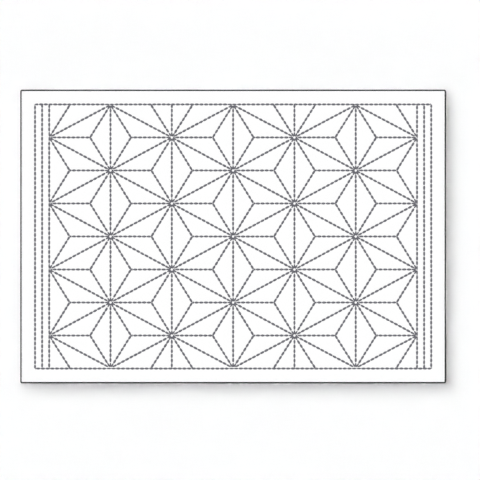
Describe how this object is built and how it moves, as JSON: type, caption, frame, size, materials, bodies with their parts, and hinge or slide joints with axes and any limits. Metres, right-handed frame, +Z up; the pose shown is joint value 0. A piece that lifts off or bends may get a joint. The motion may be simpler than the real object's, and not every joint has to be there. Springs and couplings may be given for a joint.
{
  "type": "sashiko embroidered placemat cloth",
  "caption": "Flat oblong white cotton mat quilted with dark grey running stitches in a hemp-leaf star pattern inside a stitched frame.",
  "frame": {"origin": "centre of the cloth's flat underside", "axes": "+X along the long side, +Y along the short side, +Z up out of the stitched face"},
  "size_m": [0.45, 0.31, 0.0019],
  "materials": {
    "cotton": "matt white plain-weave cotton",
    "sashiko_thread": "matt slate-grey twisted cotton thread"
  },
  "bodies": {
    "root": {"cloth": "cotton"}
  },
  "joints": []
}
